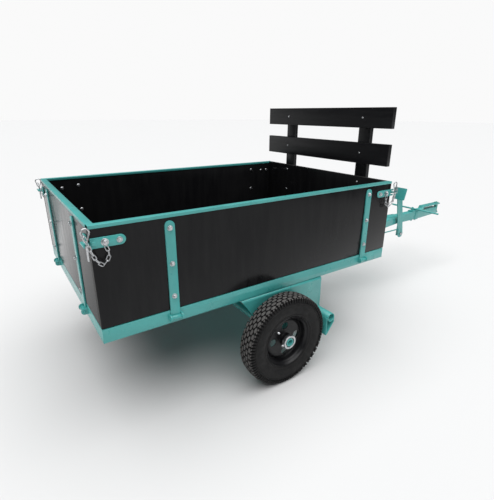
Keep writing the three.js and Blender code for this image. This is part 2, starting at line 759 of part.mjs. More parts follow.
// A straight rod whose two ends turn outward into the lever and the hook.
function releaseRod() {
  const z = LEVER.z + ROD_PIN.z;
  const ends = [HOOK.x + ROD_PIN.x, LEVER.x + ROD_PIN.x];
  return weld(
    rodX(ROD.radius, [ends[0] - 3, ends[1] + 3], ROD.y, z, 12),
    rodY(ROD.radius, [-68, ROD.y + 2], ends[0], z, 12),
    rodY(ROD.radius, [-68, ROD.y + 2], ends[1], z, 12),
  );
}

function boltY(radius, head, [y0, y1], x, z) {
  return weld(rodY(radius, [y0, y1], x, z, 16), rodY(head, [y0 - 7, y0], x, z, 6));
}

// ---------- hitch ----------
function hitchJaw() {
  const low = GAP;
  const high = JAW.rise;
  const outline = shapeOf([
    [JAW.root, low],
    [JAW.bend, low],
    [JAW.bend + 10, high],
    [TONGUE.tip - 4, high],
    [TONGUE.tip, high + 4],
    [TONGUE.tip - 4, high + JAW.thick],
    [JAW.bend + 6, high + JAW.thick],
    [JAW.bend - 5, low + JAW.thick],
    [JAW.root, low + JAW.thick],
  ]);
  const strip = toSolid(plateXZ(outline, [-JAW.width / 2, JAW.width / 2]));
  return cut(
    strip,
    rodZ(HITCH_PIN.hole, [high - 5, high + 15], HITCH_PIN.x, 0, 24),
    rodZ(6.4, [-5, 15], JAW.bolt, 0, 16),
  );
}

function hitchPin() {
  const seat = JAW.rise + JAW.thick + GAP;
  return weld(
    rodZ(HITCH_PIN.radius, [TONGUE.lip - 4, seat + 1], HITCH_PIN.x, 0, 24),
    rodZ(HITCH_PIN.radius + 3, [seat, seat + 4], HITCH_PIN.x, 0, 24),
    rodZ(5, [seat + 3, seat + 9], HITCH_PIN.x, 0, 12),
  );
}

// A bolt down through the jaw and the tongue, with a nut at each end and its thread standing up.
function hitchBolt(jawTop) {
  return weld(
    rodZ(6, [-TONGUE.height - 14, jawTop + 22], JAW.bolt, 0, 16),
    rodZ(10, [jawTop + GAP, jawTop + 15], JAW.bolt, 0, 6),
    rodZ(10, [-TONGUE.height - 10, -TONGUE.height - GAP], JAW.bolt, 0, 6),
  );
}

function addDrawbar() {
  addPart("drawbar", drawbar(), GREEN);
  addPart("foot_lever", footLever(), GREEN);
  addPart("lever_pivot_bolt", boltY(6, 10, [PEDAL_PLANE - PLATE / 2 - GAP, -30], LEVER.x, LEVER.z), ZINC);
  addPart("release_rod", releaseRod(), GREEN);
  addPart("latch_hook", latchHook(), GREEN);
  addPart("hitch_jaw", hitchJaw(), GREEN);
  addPart("hitch_pin", hitchPin(), GREEN);
  const jawTop = GAP + JAW.thick;
  addPart("hitch_bolt", hitchBolt(jawTop), GREEN);
  addPart("pull_bar", rodY(6, [-180, 180], JAW.bolt + 20, jawTop + GAP + 6, 12), GREEN);
}

// ---------- assembly ----------
addBox();
addLoadRest();
for (const [label, side] of Object.entries(SIDES)) addDropSide(label, side);
addTailgate();
addUndercarriage();
addWheels();
addDrawbar();

const bounds = new THREE.Box3().setFromObject(cart);
cart.position.set(-(bounds.min.x + bounds.max.x) / 2, 0, DECK_HEIGHT);

export default cart;
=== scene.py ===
"""The tipping garden cart's looks: paint, plywood, treaded tyres, chains, clips, bolts and screws."""

import json
import math
import random

import bmesh
import bpy
from mathutils import Matrix, Vector


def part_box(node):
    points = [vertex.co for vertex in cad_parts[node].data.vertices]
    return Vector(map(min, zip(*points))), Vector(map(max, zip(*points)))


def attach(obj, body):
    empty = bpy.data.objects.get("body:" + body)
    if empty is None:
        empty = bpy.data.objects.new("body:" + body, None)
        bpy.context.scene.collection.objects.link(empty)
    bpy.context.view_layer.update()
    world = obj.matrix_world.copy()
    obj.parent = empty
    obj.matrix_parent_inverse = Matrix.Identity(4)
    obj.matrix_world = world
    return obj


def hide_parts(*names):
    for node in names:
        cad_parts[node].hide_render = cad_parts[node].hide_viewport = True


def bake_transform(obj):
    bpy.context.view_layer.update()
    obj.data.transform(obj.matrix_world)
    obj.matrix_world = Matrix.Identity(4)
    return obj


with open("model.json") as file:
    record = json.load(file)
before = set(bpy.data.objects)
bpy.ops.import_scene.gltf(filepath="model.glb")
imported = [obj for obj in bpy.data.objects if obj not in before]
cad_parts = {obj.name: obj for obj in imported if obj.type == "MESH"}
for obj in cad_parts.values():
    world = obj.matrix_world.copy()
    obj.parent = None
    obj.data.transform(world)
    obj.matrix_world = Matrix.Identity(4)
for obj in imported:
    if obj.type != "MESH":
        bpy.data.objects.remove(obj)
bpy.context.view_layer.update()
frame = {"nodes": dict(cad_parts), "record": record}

MM = 0.001
SIDES = {"right": -1, "left": 1}
ENDS = ("rear", "front")
X, Y, Z = Vector((1, 0, 0)), Vector((0, 1, 0)), Vector((0, 0, 1))

# ---------- places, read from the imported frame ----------
PANEL_FOOT = 49  # millimetres from the frame's underside to the panels' lower edges
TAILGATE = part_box("tailgate_panel")
SIDE_PANEL = {label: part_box(f"side_panel_{label}") for label in SIDES}
FRONT_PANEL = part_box("front_panel")
REAR_X = TAILGATE[0].x
DECK_Z = TAILGATE[0].z - PANEL_FOOT * MM
HALF_WIDTH = SIDE_PANEL["left"][1].y
BOARD = HALF_WIDTH - SIDE_PANEL["left"][0].y
LENGTH = SIDE_PANEL["left"][1].x - REAR_X
PLATE_OUT = 5.3 * MM  # straps and latch plates stand this far out from the boards


def at(x, y, z):
    """A point in millimetres from the tailgate's outer face, the middle and the frame's underside."""
    return Vector((REAR_X + x * MM, y * MM, DECK_Z + z * MM))


def middle(node):
    low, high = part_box(node)
    return (low + high) / 2


# ---------- camera, light and floor ----------
CAMERA_PLACE = (-185.6, -1475.2, 645.6)
CAMERA_TURN = (-34.78, 19.76, 0.423)  # azimuth, elevation and roll in degrees
LENS = {"sensor_width": 36, "lens": 27.22, "shift_x": -0.0059, "shift_y": -0.0040}
BACKDROP = (0.955, 0.955, 0.955, 1)
SKY = (0.94, 0.97, 1.0, 1)
SKY_STRENGTH = 0.18
TOP_LIGHT = {"towards": (0.05, 0.12, -1.0), "angle": 80, "strength": 4.0}
FLOOR_REACH = 60
FLOOR_GREY = (0.67, 0.67, 0.67, 1)


def make_camera():
    azimuth, elevation, roll = (math.radians(v) for v in CAMERA_TURN)
    level_out = math.cos(elevation)
    back = Vector((math.sin(azimuth) * level_out, -math.cos(azimuth) * level_out, math.sin(elevation)))
    level = Vector((math.cos(azimuth), math.sin(azimuth), 0))
    upright = back.cross(level)
    right = math.cos(roll) * level + math.sin(roll) * upright
    up = math.cos(roll) * upright - math.sin(roll) * level
    data = bpy.data.cameras.new("camera")
    data.sensor_fit = "HORIZONTAL"
    for name, value in LENS.items():
        setattr(data, name, value)
    camera = bpy.data.objects.new("camera", data)
    place = Matrix((right, up, back)).transposed().to_4x4()
    place.translation = at(*CAMERA_PLACE)
    camera.matrix_world = place
    bpy.context.scene.collection.objects.link(camera)
    bpy.context.scene.camera = camera


def soft_sun(name, towards, angle, strength):
    """A sun as wide as a softbox, so that the floor is lit evenly to the horizon."""
    data = bpy.data.lights.new(name, "SUN")
    data.angle = math.radians(angle)
    data.energy = strength
    light = bpy.data.objects.new(name, data)
    light.rotation_euler = Vector(towards).to_track_quat("-Z", "Y").to_euler()
    bpy.context.scene.collection.objects.link(light)


def make_world():
    """White behind the cart, but a dimmer sky to light it."""
    world = bpy.data.worlds.new("studio")
    world.use_nodes = True
    nodes, links = world.node_tree.nodes, world.node_tree.links
    seen = nodes["Background"]
    seen.inputs["Color"].default_value = BACKDROP
    seen.inputs["Strength"].default_value = 1.0
    felt = nodes.new("ShaderNodeBackground")
    felt.inputs["Color"].default_value = SKY
    felt.inputs["Strength"].default_value = SKY_STRENGTH
    ray = nodes.new("ShaderNodeLightPath")
    mix = nodes.new("ShaderNodeMixShader")
    links.new(ray.outputs["Is Camera Ray"], mix.inputs[0])
    links.new(felt.outputs["Background"], mix.inputs[1])
    links.new(seen.outputs["Background"], mix.inputs[2])
    links.new(mix.outputs["Shader"], nodes["World Output"].inputs["Surface"])
    bpy.context.scene.world = world


def make_studio():
    bpy.context.scene.view_settings.view_transform = "Standard"
    make_world()
    soft_sun("top", **TOP_LIGHT)
    mesh = bpy.data.meshes.new("floor")
    reach = FLOOR_REACH
    corners = [(-reach, -reach, 0), (reach, -reach, 0), (reach, reach, 0), (-reach, reach, 0)]
    mesh.from_pydata(corners, [], [(0, 1, 2, 3)])
    floor = bpy.data.objects.new("floor", mesh)
    bpy.context.scene.collection.objects.link(floor)
    pale = bpy.data.materials.new("pale_floor")
    pale.use_nodes = True
    surface = pale.node_tree.nodes["Principled BSDF"]
    surface.inputs["Base Color"].default_value = FLOOR_GREY
    surface.inputs["Roughness"].default_value = 0.95
    mesh.materials.append(pale)


# ---------- materials ----------
class Surface:
    """A material being built. Textures use the object's own coordinates."""

    def __init__(self, name):
        self.material = bpy.data.materials.new(name)
        self.material.use_nodes = True
        self.nodes = self.material.node_tree.nodes
        self.links = self.material.node_tree.links
        self.shader = self.nodes["Principled BSDF"]
        self.place = self.nodes.new("ShaderNodeTexCoord").outputs["Object"]

    def set(self, **values):
        """Sets the shader's sockets by name, with underscores for spaces."""
        for name, value in values.items():
            self.shader.inputs[name.replace("_", " ")].default_value = value

    def scaled(self, scale):
        mapping = self.nodes.new("ShaderNodeMapping")
        mapping.inputs["Scale"].default_value = scale
        self.links.new(self.place, mapping.inputs["Vector"])
        return mapping.outputs["Vector"]

    def noise(self, scale, detail=4.0, roughness=0.6, stretch=(1, 1, 1)):
        node = self.nodes.new("ShaderNodeTexNoise")
        node.inputs["Scale"].default_value = scale
        node.inputs["Detail"].default_value = detail
        node.inputs["Roughness"].default_value = roughness
        self.links.new(self.scaled(stretch), node.inputs["Vector"])
        return node.outputs["Fac"]

    def band(self, value, low, high, start=0.0, end=1.0):
        """Maps value from low..high to start..end, and clamps it."""
        node = self.nodes.new("ShaderNodeMapRange")
        node.inputs["From Min"].default_value = low
        node.inputs["From Max"].default_value = high
        node.inputs["To Min"].default_value = start
        node.inputs["To Max"].default_value = end
        self.links.new(value, node.inputs["Value"])
        return node.outputs["Result"]

    def mix(self, factor, first, second):
        """Blends two colours, each a tuple or a socket."""
        node = self.nodes.new("ShaderNodeMix")
        node.data_type = "RGBA"
        self.links.new(factor, node.inputs["Factor"])
        colours = [socket for socket in node.inputs if socket.type == "RGBA"]
        for socket, colour in zip(colours, (first, second)):
            if isinstance(colour, tuple):
                socket.default_value = (*colour, 1)
            else:
                self.links.new(colour, socket)
        return next(socket for socket in node.outputs if socket.type == "RGBA")

    def add(self, first, second, operation="ADD"):
        node = self.nodes.new("ShaderNodeMath")
        node.operation = operation
        self.links.new(first, node.inputs[0])
        self.links.new(second, node.inputs[1])
        return node.outputs[0]

    def colour(self, value):
        self.links.new(value, self.shader.inputs["Base Color"])

    def rough(self, value):
        self.links.new(value, self.shader.inputs["Roughness"])

    def bump(self, height, distance, strength=1.0):
        node = self.nodes.new("ShaderNodeBump")
        node.inputs["Distance"].default_value = distance
        node.inputs["Strength"].default_value = strength
        self.links.new(height, node.inputs["Height"])
        self.links.new(node.outputs["Normal"], self.shader.inputs["Normal"])


def green_paint():
    """Gloss green-blue enamel with orange peel, faint runs and a little road dust."""
    s = Surface("green_paint")
    s.set(Coat_Weight=0.25, Coat_Roughness=0.12)
    tone = s.band(s.noise(9, 5), 0.35, 0.7)
    paint = s.mix(tone, (0.053, 0.335, 0.318), (0.070, 0.400, 0.378))
    dust = s.band(s.noise(38, 8, 0.7), 0.58, 0.8, 0.0, 0.4)
    s.colour(s.mix(dust, paint, (0.10, 0.30, 0.28)))
    s.rough(s.band(s.noise(30, 5), 0.3, 0.7, 0.24, 0.44))
    s.bump(s.add(s.noise(420, 2), s.noise(60, 3)), 0.0004, 0.25)
    return s.material


def worn_green():
    """The hitch pin's enamel, rubbed through to steel in streaks."""
    s = Surface("worn_green")
    wear = s.band(s.noise(90, 6, 0.7, (1, 1, 0.35)), 0.5, 0.62)
    s.colour(s.mix(wear, (0.075, 0.42, 0.36), (0.32, 0.31, 0.30)))
    s.links.new(s.band(wear, 0, 1, 0.0, 0.9), s.shader.inputs["Metallic"])
    s.rough(s.band(s.noise(50), 0.3, 0.7, 0.3, 0.5))
    s.bump(s.noise(300, 3), 0.0003, 0.3)
    return s.material


def film_plywood(name, stretch):
    """Phenolic film: near black and glossy, with rubbed streaks, scuffs and the veneer showing through."""
    s = Surface(name)
    s.set(Specular_IOR_Level=0.16)
    streak = s.band(s.noise(34, 7, 0.65, stretch), 0.42, 0.78)
    smear = s.band(s.noise(3.2, 4, 0.55), 0.45, 0.75)
    base = s.mix(streak, (0.0070, 0.0070, 0.0078), (0.0135, 0.0135, 0.0140))
    base = s.mix(smear, base, (0.0125, 0.0125, 0.0130))
    scuff = s.band(s.noise(120, 10, 0.75, stretch), 0.70, 0.80, 0.0, 0.5)
    s.colour(s.mix(scuff, base, (0.060, 0.058, 0.055)))
    s.rough(s.band(s.add(streak, smear), 0.0, 2.0, 0.13, 0.34))
    s.bump(s.add(s.noise(26, 6, 0.6, stretch), s.noise(500, 2)), 0.0005, 0.16)
    return s.material


def rest_board():
    """Black stained boards with a fine grain along their length."""
    s = Surface("rest_board")
    s.set(Specular_IOR_Level=0.25)
    grain = s.band(s.noise(60, 8, 0.7, (1, 0.05, 1)), 0.4, 0.7)
    s.colour(s.mix(grain, (0.0035, 0.0035, 0.0045), (0.009, 0.009, 0.010)))
    s.rough(s.band(grain, 0, 1, 0.32, 0.5))
    s.bump(grain, 0.0004, 0.35)
    return s.material


def board_edge():
    """Sealed edges of the boards: dull black over plies, with pale chips at the corners."""
    s = Surface("board_edge")
    ply = s.band(s.noise(14, 3, 0.5, (22, 22, 0.6)), 0.4, 0.6)
    base = s.mix(ply, (0.012, 0.011, 0.011), (0.030, 0.028, 0.026))
    chip = s.band(s.noise(75, 9, 0.75), 0.66, 0.72)
    s.colour(s.mix(chip, base, (0.24, 0.20, 0.16)))
    s.rough(s.band(ply, 0, 1, 0.55, 0.75))
    s.bump(s.add(ply, chip, "SUBTRACT"), 0.0006, 0.4)
    return s.material


def black_steel():
    """Black powder coat with a film of dust."""
    s = Surface("black_steel")
    s.set(Specular_IOR_Level=0.3)
    tone = s.band(s.noise(20, 5), 0.35, 0.7)
    base = s.mix(tone, (0.004, 0.004, 0.005), (0.009, 0.009, 0.010))
    dust = s.band(s.noise(70, 8, 0.7), 0.6, 0.8, 0.0, 0.4)
    s.colour(s.mix(dust, base, (0.030, 0.028, 0.026)))
    s.rough(s.band(s.noise(40, 5), 0.3, 0.7, 0.26, 0.46))
    s.bump(s.noise(380, 3), 0.0004, 0.25)
    return s.material


def zinc():
    """Bright zinc plate with spangle and a few dull spots."""
    s = Surface("zinc")
    s.set(Metallic=1.0)
    spangle = s.band(s.noise(260, 4, 0.6), 0.35, 0.65)
    plate = s.mix(spangle, (0.42, 0.43, 0.45), (0.66, 0.67, 0.68))
    dull = s.band(s.noise(110, 6, 0.7), 0.6, 0.75, 0.0, 0.7)
    s.colour(s.mix(dull, plate, (0.34, 0.33, 0.32)))
    s.rough(s.band(s.noise(180, 4), 0.3, 0.7, 0.24, 0.46))
    s.bump(s.noise(600, 3), 0.0002, 0.3)
    return s.material


def tyre_rubber():
    """Matt black rubber of the sidewalls and the grooves."""
    s = Surface("tyre_rubber")
    s.set(Specular_IOR_Level=0.2)
    tone = s.band(s.noise(16, 5), 0.35, 0.7)
    rubber = s.mix(tone, (0.0070, 0.0070, 0.0075), (0.0130, 0.0126, 0.0126))
    dust = s.band(s.noise(85, 8, 0.7), 0.5, 0.8, 0.0, 0.35)
    s.colour(s.mix(dust, rubber, (0.040, 0.037, 0.034)))
    s.rough(s.band(s.noise(60, 4), 0.3, 0.7, 0.5, 0.75))
    s.bump(s.add(s.noise(700, 4), s.noise(150, 3)), 0.0004, 0.4)
    return s.material


def dusty_tread():
    """The tread's running faces, greyed with road dust."""
    s = Surface("dusty_tread")
    s.set(Specular_IOR_Level=0.2)
    grain = s.band(s.noise(120, 8, 0.75), 0.35, 0.7)
    s.colour(s.mix(grain, (0.060, 0.058, 0.057), (0.150, 0.143, 0.138)))
    s.rough(s.band(s.noise(90, 4), 0.3, 0.7, 0.75, 0.95))
    s.bump(s.noise(500, 5), 0.0004, 0.5)
    return s.material


def valve_rubber():
    """The valve stem's plain rubber."""
    s = Surface("valve_rubber")
    s.colour(s.mix(s.band(s.noise(200), 0.4, 0.6), (0.01, 0.01, 0.01), (0.03, 0.03, 0.03)))
    s.rough(s.band(s.noise(120), 0.3, 0.7, 0.5, 0.7))
    s.bump(s.noise(500, 3), 0.0002, 0.3)
    return s.material


# ---------- mesh helpers ----------
def basis(axis):
    """Two directions square to an axis."""
    axis = Vector(axis).normalized()
    side = axis.orthogonal().normalized()
    return side, axis.cross(side)


def lathe(bm, centre, axis, profile, segments, closed=False, start=None):
    """Turns (radius, distance along the axis) points round the axis. A point on the axis closes the end."""
    axis = Vector(axis).normalized()
    side, other = basis(axis) if start is None else (start, axis.cross(start))
    rings = []
    for radius, along in profile:
        if radius < 1e-7:
            rings.append([bm.verts.new(centre + axis * along)])
            continue
        ring = []
        for k in range(segments):
            angle = 2 * math.pi * k / segments
            out = side * math.cos(angle) + other * math.sin(angle)
            ring.append(bm.verts.new(centre + axis * along + out * radius))
        rings.append(ring)
    pairs = list(zip(rings, rings[1:]))
    if closed:
        pairs.append((rings[-1], rings[0]))
    for first, second in pairs:
        for k in range(segments):
            after = (k + 1) % segments
            corners = [first[k % len(first)], first[after % len(first)]]
            corners += [second[after % len(second)], second[k % len(second)]]
            face = list(dict.fromkeys(corners))
            if len(face) > 2:
                bm.faces.new(face)


def wire(bm, points, radius, sides=8, closed=False):
    """A round wire along a list of points, with its section carried along without twist."""
    points = [Vector(p) for p in points]
    count = len(points)
    tangents = []
    for i in range(count):
        before = points[i - 1] if closed or i > 0 else points[i]
        after = points[(i + 1) % count] if closed or i < count - 1 else points[i]
        tangents.append((after - before).normalized())
    normal = tangents[0].orthogonal().normalized()
    rings = []
    for i in range(count):
        normal = (normal - tangents[i] * normal.dot(tangents[i])).normalized()
        other = tangents[i].cross(normal)
        ring = []
        for k in range(sides):
            angle = 2 * math.pi * k / sides
            out = normal * math.cos(angle) + other * math.sin(angle)
            ring.append(bm.verts.new(points[i] + radius * out))
        rings.append(ring)
    last = count if closed else count - 1
    shift = 0
    for i in range(last):
        first, second = rings[i], rings[(i + 1) % count]
        if closed and i == count - 1:
            gaps = [(second[k].co - first[0].co).length for k in range(sides)]
            shift = gaps.index(min(gaps))
        for k in range(sides):
            corners = [first[k], first[(k + 1) % sides]]
            corners += [second[(k + 1 + shift) % sides], second[(k + shift) % sides]]
            bm.faces.new(corners)
    if not closed:
        bm.faces.new(reversed(rings[0]))
        bm.faces.new(rings[-1])


def finish_piece(name, bm, material, body, smooth=40):
    """Turns a bmesh into a piece that rides on a body."""
    bmesh.ops.recalc_face_normals(bm, faces=bm.faces[:])
    mesh = bpy.data.meshes.new(name)
    bm.to_mesh(mesh)
    bm.free()
    mesh.materials.append(material)
    piece = bpy.data.objects.new(name, mesh)
    bpy.context.scene.collection.objects.link(piece)
    mesh.shade_smooth()
    mesh.set_sharp_from_angle(angle=math.radians(smooth))
    if body:
        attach(piece, body)
    return piece


# ---------- fasteners ----------
# A strap bolt's washer and nut, and the bolt's stub past the nut, in millimetres.
NUT = {
    "washer": 8.6,
    "washer_thick": 1.4,
    "seat": 1.3,
    "across": 12.6,
    "high": 5.4,
    "stub": 3.9,
    "stub_root": 6.2,
}
STRAP_HEAD = (8.5 * MM, 4.2 * MM)  # radius and height of the round heads, by where they sit
POST_HEAD = (6.0 * MM, 3.0 * MM)
BOARD_HEAD = (4.5 * MM, 2.2 * MM)
BOLT_HEIGHTS = (322, 207, 96)
POST_BOLT_HEIGHTS = (336, 220, 100)
LATCH_BOLTS = {"rear": (39, 79), "front": (1261, 1221)}
CHAIN_BOLT_SCALE = 1.25
LUG_IN = 37 * MM  # the latch brackets' middles, in from the box's sides
LUG_BOLT_DROPS = (-9, 9)
LUG_BOLT_SCALE = 0.7
LATCH_Z = middle("latch_plate_rear_right").z
HITCH_BOLT_FOOT = 14 * MM  # the hitch bolt's reach below the tongue
HITCH_NUTS = ((-22, 0, 0.8), (30, -3, 1.1))  # ahead of the hitch bolt, drop and size


def washer(bm, place, out, radius, thick):
    """A round washer with a chamfered outer edge."""
    rim = thick * 0.3
    profile = [(0, 0), (radius, 0), (radius, thick - rim), (radius - rim, thick), (0, thick)]
    lathe(bm, place, out, profile, 24)


def hex_head(bm, place, out, across, height, turn=0.0):
    """A hexagon with a chamfered top, standing on a point and facing out."""
    side, other = basis(out)
    out = Vector(out).normalized()
    radius = across / math.sqrt(3)
    levels = [(radius, 0), (radius, height * 0.72), (radius * 0.86, height)]
    rings = []
    for size, level in levels:
        ring = []
        for k in range(6):
            angle = turn + math.pi * k / 3
            spoke = side * math.cos(angle) + other * math.sin(angle)
            ring.append(bm.verts.new(place + out * level + spoke * size))
        rings.append(ring)
    for low, high in zip(rings, rings[1:]):
        for k in range(6):
            bm.faces.new([low[k], low[(k + 1) % 6], high[(k + 1) % 6], high[k]])
    bm.faces.new(rings[-1])
    bm.faces.new(reversed(rings[0]))


def bolt(bm, place, out, scale=1.0, turn=0.0):
    """A washer, a hexagon nut and the domed end of the bolt."""
    out = Vector(out).normalized()
    washer(bm, place, out, NUT["washer"] * MM * scale, NUT["washer_thick"] * MM)
    seat = place + out * NUT["seat"] * MM
    hex_head(bm, seat, out, NUT["across"] * MM * scale, NUT["high"] * MM * scale, turn)
    root = place + out * (NUT["stub_root"] * MM * scale)
    stub = NUT["stub"] * MM * scale
    lathe(bm, root, out, [(0, 0), (stub, 0), (stub, 1.8 * MM), (stub * 0.75, 2.6 * MM), (0, 2.8 * MM)], 16)


def dome(bm, place, out, radius, height, segments=20):
    """A carriage bolt's round head, sunk a little into the board."""
    sink = -0.2 * MM
    arc = [(radius * math.cos(a), height * math.sin(a)) for a in (0, 0.3, 0.6, 0.9, 1.2)]
    lathe(bm, place, out, [(0, sink), (radius, sink), *arc, (0, height)], segments)


def side_fasteners(label, metal):
    """Nuts on the outside of a drop side's straps and latch plates, and round heads on its inside."""
    side = SIDES[label]
    out = Y * side
    outer = side * (HALF_WIDTH + PLATE_OUT)
    inner = side * (HALF_WIDTH - BOARD)
    bm = bmesh.new()
    random.seed(11 + side)
    for end in ENDS:
        x = middle(f"side_strap_{end}_{label}").x
        for height in BOLT_HEIGHTS:
            z = DECK_Z + height * MM
            bolt(bm, Vector((x, outer, z)), out, 1.0, random.uniform(0, 1))
            dome(bm, Vector((x, inner, z)), -out, *STRAP_HEAD)
        for index, distance in enumerate(LATCH_BOLTS[end]):
            x_bolt = REAR_X + distance * MM
            place = Vector((x_bolt, outer, LATCH_Z))
            scale = CHAIN_BOLT_SCALE if index == 0 else 1.0
            bolt(bm, place, out, scale, random.uniform(0, 1))
            dome(bm, Vector((x_bolt, inner, LATCH_Z)), -out, *STRAP_HEAD)
    finish_piece(f"side_bolts_{label}", bm, metal, f"side_{label}", 30)


def tailgate_fasteners(metal):
    """Nuts and round heads of the tailgate's straps, and the bolts of its latch lugs."""
    bm = bmesh.new()
    random.seed(5)
    inner = TAILGATE[1].x
    for label, side in SIDES.items():
        y = middle(f"tailgate_strap_{label}").y
        for height in BOLT_HEIGHTS:
            z = DECK_Z + height * MM
            bolt(bm, Vector((REAR_X - PLATE_OUT, y, z)), -X, 1.0, random.uniform(0, 1))
            dome(bm, Vector((inner, y, z)), X, *STRAP_HEAD)
        lug_y = side * (HALF_WIDTH - LUG_IN)
        for drop in LUG_BOLT_DROPS:
            z = LATCH_Z + drop * MM
            bolt(bm, Vector((REAR_X - PLATE_OUT, lug_y, z)), -X, LUG_BOLT_SCALE, random.uniform(0, 1))
    finish_piece("tailgate_bolts", bm, metal, "tailgate", 30)


def front_fasteners(metal):
    """Round heads of the load rest on the front panel and its boards, and bolts of the front latch lugs."""
    bm = bmesh.new()
    random.seed(8)
    inner = FRONT_PANEL[0].x
    for label in SIDES:
        y = middle(f"rest_post_{label}").y
        for height in POST_BOLT_HEIGHTS:
            dome(bm, Vector((inner, y, DECK_Z + height * MM)), -X, *POST_HEAD)
        for board in ("upper", "lower"):
            low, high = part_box(f"rest_board_{board}")
            z = (low.z + high.z) / 2
            dome(bm, Vector((low.x, y, z)), -X, *BOARD_HEAD)
    front = FRONT_PANEL[1].x + PLATE_OUT
    for side in SIDES.values():
        for drop in LUG_BOLT_DROPS:
            place = Vector((front, side * (HALF_WIDTH - LUG_IN), LATCH_Z + drop * MM))
            bolt(bm, place, X, LUG_BOLT_SCALE, random.uniform(0, 1))
    finish_piece("front_bolts", bm, metal, "box", 30)


# ---------- latch chains and clips ----------
# From the plate's bolt down and up to the clip's ring, at the left rear corner. The links begin to follow
# the clip at the fifth point, where the chain hangs lowest.
CHAIN_ROUTE = [
    (39, 11, 304), (43, 12, 290), (44, 13, 277), (36, 14, 262), (24, 15, 254), (9, 17, 270), (-2, 20, 295),
    (-9, 22, 319), (-14, 22, 337),
]
LINK = {"long": 20.5 * MM, "wide": 11.5 * MM, "wire": 1.45 * MM}
LINK_OVERLAP = 4.2  # wire radii by which neighbours overlap
FIRST_TURN = 0.35
CLIP_WIRE = 2.9 * MM
CLIP_LOOP = {"half": 11 * MM, "low": 318 * MM}


def corner_point(label, end, point):
    """A point drawn for the left rear corner, placed at any corner. The second value counts outwards."""
    x, out, z = point
    along = x if end == "rear" else LENGTH / MM - x
    return at(along, SIDES[label] * (HALF_WIDTH / MM + out), z)


def smooth_route(points, steps):
    """A Catmull-Rom curve through the points."""
    ends = [points[0] * 2 - points[1], *points, points[-1] * 2 - points[-2]]
    route = []
    for i in range(len(points) - 1):
        a, b, c, d = ends[i:i + 4]
        for k in range(steps):
            t = k / steps
            square = (2 * a - 5 * b + 4 * c - d) * t**2
            cube = (3 * b - a - 3 * c + d) * t**3
            route.append(0.5 * (2 * b + (c - a) * t + square + cube))
    route.append(points[-1])
    return route


def spaced(route, pitch):
    """Points along a route at an even pitch, with the direction there."""
    found, left = [], pitch / 2
    for a, b in zip(route, route[1:]):
        run = (b - a).length
        while left <= run:
            found.append((a + (b - a) * (left / run), (b - a).normalized()))
            left += pitch
        left -= run
    return found


def link(bm, centre, along, across):
    """One oval welded link."""
    bend = LINK["wide"] / 2 - LINK["wire"]
    straight = LINK["long"] / 2 - LINK["wire"] - bend
    points = []
    for end in (1, -1):
        for k in range(7):
            angle = math.pi * (k / 6 - 0.5)
            reach = straight + bend * math.cos(angle)
            points.append(centre + end * (along * reach + across * bend * math.sin(angle)))
    wire(bm, points, LINK["wire"], 8, closed=True)


def chain(label, end, metal):
    """Links along the route, each turned a quarter from the one before."""
    bm = bmesh.new()
    points = [corner_point(label, end, p) for p in CHAIN_ROUTE]
    pitch = LINK["long"] - LINK_OVERLAP * LINK["wire"]
    turn = FIRST_TURN
    for centre, along in spaced(smooth_route(points, 24), pitch):
        side = along.cross(Y).normalized()
        across = side * math.cos(turn) + along.cross(side) * math.sin(turn)
        link(bm, centre, along, across)
        turn += math.pi / 2
    piece = finish_piece(f"chain_{end}_{label}", bm, metal, None)
    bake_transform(piece)
    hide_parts(f"latch_chain_{end}_{label}")


def clip(label, end, metal):
    """A pin bent from one wire: a straight shank and a long loop to pull it by."""
    low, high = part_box(f"latch_clip_{end}_{label}")
    centre = (low + high) / 2
    radius = CLIP_WIRE
    loop_half = CLIP_LOOP["half"]
    loop_low = DECK_Z + CLIP_LOOP["low"]
    bm = bmesh.new()
    shank = [Vector((centre.x, centre.y, low.z)), Vector((centre.x, centre.y, loop_low + 4 * MM))]
    rounded = [(0, 0), (radius * 0.5, 0), (radius, 2 * MM), (radius, (shank[1] - shank[0]).z)]
    lathe(bm, shank[0], Z, rounded, 14)
    top = high.z - radius - loop_half
    points = [Vector((centre.x, centre.y, loop_low))]
    for k in range(13):
        angle = math.pi * (1 - k / 12)
        spread = loop_half * math.cos(angle)
        points.append(Vector((centre.x + spread, centre.y, top + loop_half * math.sin(angle))))
    wire(bm, points, radius * 0.8, 10, closed=True)
    piece = finish_piece(f"clip_pin_{end}_{label}", bm, metal, f"clip_{end}_{label}")
    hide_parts(f"latch_clip_{end}_{label}")


# ---------- wheels ----------
TYRE = {"radius": 187, "groove": 4.5, "half": 39.5}
CROWN_DROP = 0.0037  # millimetres of drop for each square millimetre from the middle
BLOCKS_ROUND = 44
BLOCK_ROWS = (-26, -13, 0, 13, 26)
BLOCK = {"gap": 0.6, "half_width": 6.0, "root": 2}
LUGS_ROUND = 2 * BLOCKS_ROUND
LUG = {"half": 4.2, "root": 6.5}
DISC_HOLES = {"count": 4, "circle": 57, "radius": 15}
VALVE_ANGLES = {"right": 133, "left": 47}
VALVE_ROOT = {"circle": 90, "out": 4}
SET_SCREW = {"along": 0.35, "circle": 26}


def crown_radius(offset):
    """The tread's outer radius at a distance from the middle of the tyre, in millimetres."""
    return TYRE["radius"] - CROWN_DROP * offset**2


